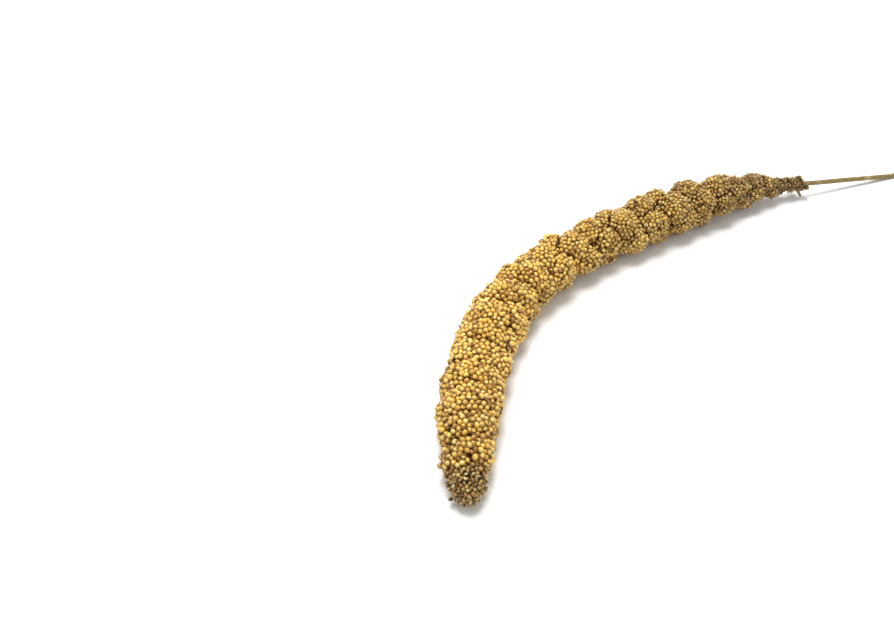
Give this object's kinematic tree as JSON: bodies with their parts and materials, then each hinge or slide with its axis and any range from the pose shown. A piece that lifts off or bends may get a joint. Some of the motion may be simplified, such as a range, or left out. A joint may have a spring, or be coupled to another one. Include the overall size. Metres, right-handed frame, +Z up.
{
  "type": "millet seed head",
  "caption": "Curved, tapering millet seed head lying on its side: lobes packed with small round grains spiral round a thin straw stem that is cut at one end.",
  "frame": {"origin": "middle of the bounding box's footprint, on the surface that the head lies on", "axes": "+X towards the cut end of the stem, along the longest extent; +Y towards the outside of the bow; +Z up from the surface"},
  "size_m": [0.2402, 0.0622, 0.0188],
  "materials": {
    "straw": "dry straw, satin",
    "stunted_grain": "shrivelled, matt",
    "lower_grain": "dull khaki grains, satin",
    "upper_grain": "golden grains, satin"
  },
  "bodies": {
    "root": {"stem": "straw", "whorl_01": "stunted_grain", "whorl_02": "stunted_grain", "whorl_03": "stunted_grain", "whorl_04": "lower_grain", "whorl_05": "lower_grain", "whorl_06": "lower_grain", "whorl_07": "lower_grain", "whorl_08": "lower_grain", "whorl_09": "lower_grain", "whorl_10": "lower_grain", "whorl_11": "lower_grain", "whorl_12": "lower_grain", "whorl_13": "lower_grain", "whorl_14": "lower_grain", "whorl_15": "lower_grain", "whorl_16": "lower_grain", "whorl_17": "upper_grain", "whorl_18": "upper_grain", "whorl_19": "upper_grain", "whorl_20": "upper_grain", "whorl_21": "upper_grain", "whorl_22": "upper_grain", "whorl_23": "upper_grain", "whorl_24": "upper_grain", "whorl_25": "upper_grain", "whorl_26": "upper_grain"}
  },
  "joints": []
}
